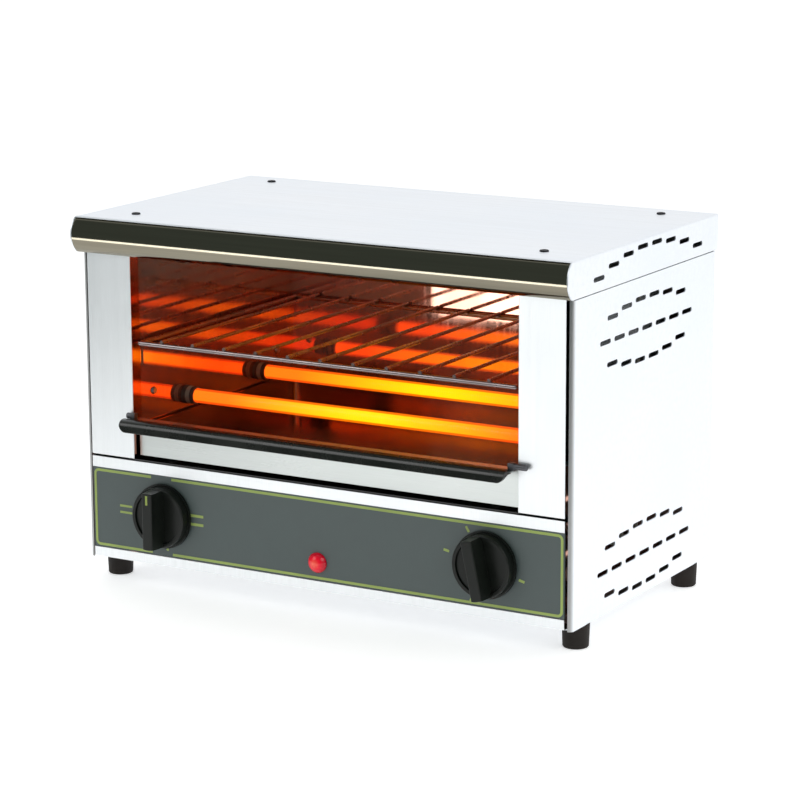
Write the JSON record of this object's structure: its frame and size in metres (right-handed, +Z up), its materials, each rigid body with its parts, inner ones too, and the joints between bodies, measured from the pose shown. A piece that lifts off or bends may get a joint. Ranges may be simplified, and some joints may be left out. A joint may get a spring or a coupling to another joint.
{
  "type": "open-front infrared bar toaster",
  "caption": "Countertop open-front toaster oven: stainless case, quartz heating tubes above and below a sliding wire rack, sliding crumb tray, selector and timer knobs, pilot lamp, rubber feet.",
  "frame": {"origin": "on the surface the feet stand on, centred left to right and front to back on the whole object", "axes": "+X to the right of a person facing the opening, +Y to the back, +Z up"},
  "size_m": [0.45, 0.3, 0.3062],
  "materials": {
    "satin_steel": "satin-brushed stainless sheet",
    "nose_steel": "mirror-polished stainless sheet",
    "front_steel": "brushed stainless sheet",
    "cavity_steel": "polished stainless, tinted by heat",
    "chrome_wire": "bright plated wire",
    "tray_steel": "brushed stainless sheet",
    "handle_black": "glossy heat-proof moulding",
    "pin_steel": "turned stainless, darkened by heat",
    "knob_black": "semi-gloss moulding",
    "spindle_steel": "turned steel",
    "panel_grey": "satin slate-grey film on steel",
    "lime_print": "printed film",
    "lamp_red": "clear red lens, lit from behind",
    "black_plastic": "moulded",
    "plated_steel": "zinc-plated sheet",
    "quartz": "clear fused quartz",
    "glowing_wire": "wound resistance wire at working heat",
    "ceramic_white": "unglazed steatite",
    "nickel_strip": "nickel-plated",
    "lead_sleeve": "glass-fibre sleeving",
    "rubber_black": "matt",
    "screw_steel": "plated screws",
    "screw_black": "blackened screws"
  },
  "bodies": {
    "housing": {"back_panel": "plated_steel", "back_panel_screws": "screw_steel", "base_plate": "plated_steel", "cable_gland": "black_plastic", "cavity_back": "cavity_steel", "cavity_ceiling": "cavity_steel", "cavity_floor": "cavity_steel", "cavity_wall_left": "cavity_steel", "cavity_wall_right": "cavity_steel", "cavity_wall_screws": "screw_steel", "ceramic_caps_lower": "ceramic_white", "ceramic_caps_upper": "ceramic_white", "control_leads": "lead_sleeve", "control_panel": "panel_grey", "control_screws": "screw_steel", "cover_nose": "nose_steel", "cover_screws": "screw_black", "foot_front_left": "rubber_black", "foot_front_right": "rubber_black", "foot_rear_left": "rubber_black", "foot_rear_right": "rubber_black", "foot_screws": "screw_steel", "front_column_left": "front_steel", "front_column_right": "front_steel", "front_lintel": "front_steel", "front_rail_lower": "front_steel", "front_rail_upper": "front_steel", "gland_nut": "black_plastic", "heater_leads": "lead_sleeve", "heating_coil_lower_front": "glowing_wire", "heating_coil_lower_rear": "glowing_wire", "heating_coil_upper_front": "glowing_wire", "heating_coil_upper_rear": "glowing_wire", "link_strips": "nickel_strip", "panel_graphics": "lime_print", "pilot_lamp_body": "black_plastic", "pilot_lamp_lens": "lamp_red", "quartz_tube_lower_front": "quartz", "quartz_tube_lower_rear": "quartz", "quartz_tube_upper_front": "quartz", "quartz_tube_upper_rear": "quartz", "rack_rail_left": "cavity_steel", "rack_rail_right": "cavity_steel", "selector_switch_body": "black_plastic", "side_panel_left": "satin_steel", "side_panel_right": "satin_steel", "terminal_block": "black_plastic", "terminal_studs": "nickel_strip", "timer_body": "plated_steel", "top_cover": "satin_steel", "tube_retainer_left": "plated_steel", "tube_retainer_right": "plated_steel"},
    "rack": {"wire_rack": "chrome_wire"},
    "tray": {"crumb_tray": "tray_steel", "tray_handle": "handle_black", "tray_stop_pins": "pin_steel"},
    "selector": {"selector_knob": "knob_black", "selector_spindle": "spindle_steel"},
    "timer": {"timer_knob": "knob_black", "timer_spindle": "spindle_steel"}
  },
  "joints": [
    {"name": "rack_slide", "type": "slide", "parent": "housing", "child": "rack", "axis": [0, -1, 0], "range_m": [0, 0.2]},
    {"name": "tray_slide", "type": "slide", "parent": "housing", "child": "tray", "axis": [0, -1, 0], "range_m": [0, 0.2]},
    {"name": "selector_turn", "type": "hinge", "parent": "housing", "child": "selector", "pos_m": [-0.1485, -0.125, 0.063], "axis": [0, 1, 0], "range_deg": [0, 270]},
    {"name": "timer_turn", "type": "hinge", "parent": "housing", "child": "timer", "pos_m": [0.15, -0.125, 0.063], "axis": [0, 1, 0], "range_deg": [0, 300]}
  ]
}
